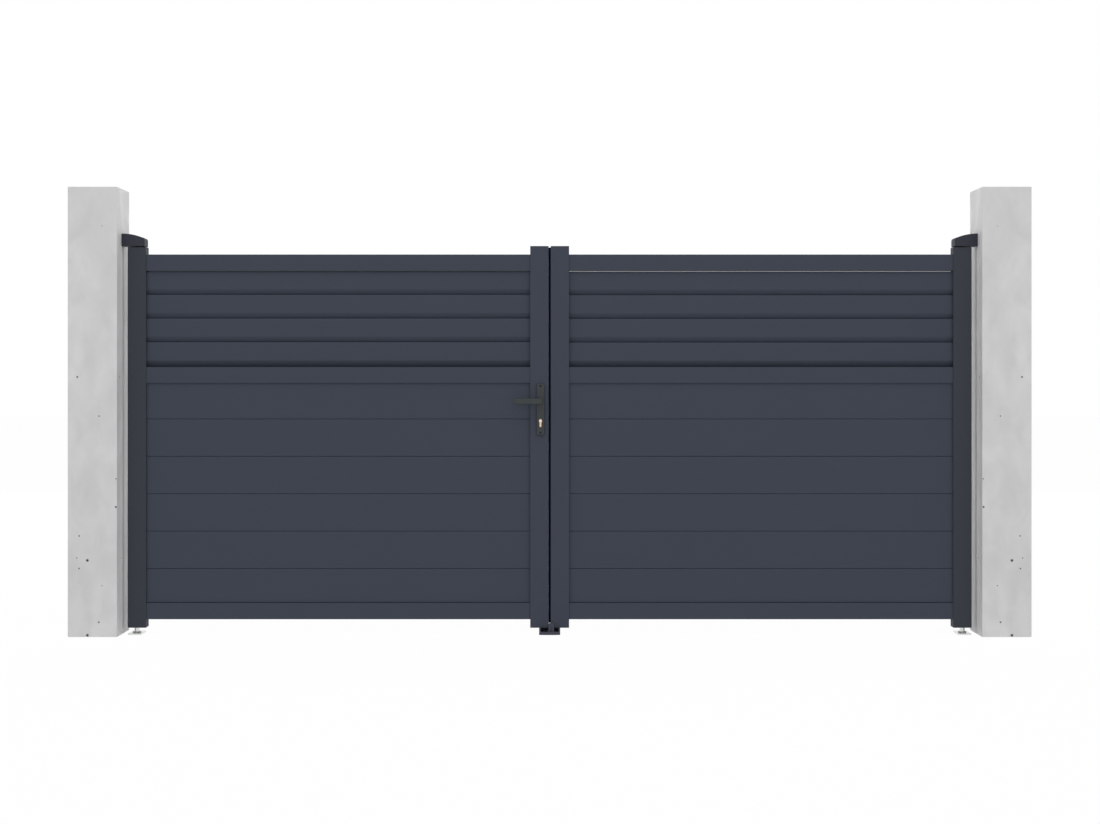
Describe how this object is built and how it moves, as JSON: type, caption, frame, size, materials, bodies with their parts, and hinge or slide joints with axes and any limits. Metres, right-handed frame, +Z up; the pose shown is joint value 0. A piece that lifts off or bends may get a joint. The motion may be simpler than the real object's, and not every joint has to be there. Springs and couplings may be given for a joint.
{
  "type": "double-leaf swing gate",
  "caption": "Double swing gate with louvred upper panels and boarded lower panels, hung on bottom pivots between square concrete pillars, with a lever handle and lock.",
  "frame": {"origin": "centre of the left pillar's foot, at ground level", "axes": "+X along the gate towards the right pillar, +Y away from the viewer, the way the leaves open, +Z up"},
  "size_m": [3.9, 0.2, 1.8222],
  "materials": {
    "concrete": "matte",
    "coated_frame": "satin",
    "coated_hinge_stiles": "satin",
    "coated_boards": "satin",
    "coated_slats": "satin",
    "moulded_cover": "matte",
    "nylon_block": "satin",
    "zinc_steel": "satin",
    "painted_bracket": "satin",
    "cast_stop": "matte",
    "handle_coat": "satin",
    "brass": "polished",
    "nickel_plug": "polished",
    "steel_plate": "satin",
    "black_rubber": "matte"
  },
  "bodies": {
    "posts": {"left_pillar": "concrete", "right_pillar": "concrete", "left_hinge_bracket": "painted_bracket", "right_hinge_bracket": "painted_bracket", "left_hinge_cover": "moulded_cover", "right_hinge_cover": "moulded_cover", "left_bottom_pivot": "zinc_steel", "right_bottom_pivot": "zinc_steel", "left_pivot_nut": "steel_plate", "right_pivot_nut": "steel_plate", "ground_stop": "cast_stop"},
    "left_leaf": {"left_hinge_stile": "coated_hinge_stiles", "left_lock_stile": "coated_frame", "left_top_rail": "coated_frame", "left_mid_rail": "coated_frame", "left_bottom_rail": "coated_frame", "left_louvre_slats": "coated_slats", "left_boards": "coated_boards", "left_pivot_bushes": "nylon_block", "left_stile_caps": "nylon_block", "front_handle_plate": "handle_coat", "back_handle_plate": "handle_coat", "lock_cylinder": "brass", "key_plugs": "nickel_plug", "lock_faceplate": "steel_plate", "lock_bolts": "steel_plate"},
    "right_leaf": {"right_hinge_stile": "coated_hinge_stiles", "right_lock_stile": "coated_frame", "right_top_rail": "coated_frame", "right_mid_rail": "coated_frame", "right_bottom_rail": "coated_frame", "right_louvre_slats": "coated_slats", "right_boards": "coated_boards", "right_pivot_bushes": "nylon_block", "right_stile_caps": "nylon_block", "strike_plate": "steel_plate", "meeting_seal": "black_rubber"},
    "lever": {"front_lever": "handle_coat", "back_lever": "handle_coat", "lever_spindle": "zinc_steel"}
  },
  "joints": [
    {"name": "left_leaf_swing", "type": "hinge", "parent": "posts", "child": "left_leaf", "pos_m": [0.157, 0, 0.0264], "axis": [0, 0, 1], "range_deg": [0, 100]},
    {"name": "right_leaf_swing", "type": "hinge", "parent": "posts", "child": "right_leaf", "pos_m": [3.543, 0, 0.0264], "axis": [0, 0, -1], "range_deg": [0, 100]},
    {"name": "lever_turn", "type": "hinge", "parent": "left_leaf", "child": "lever", "pos_m": [1.8125, 0, 0.953], "axis": [0, -1, 0], "range_deg": [0, 45], "stiffness_Nm_per_rad": 1.5, "springref_deg": -20.05}
  ]
}
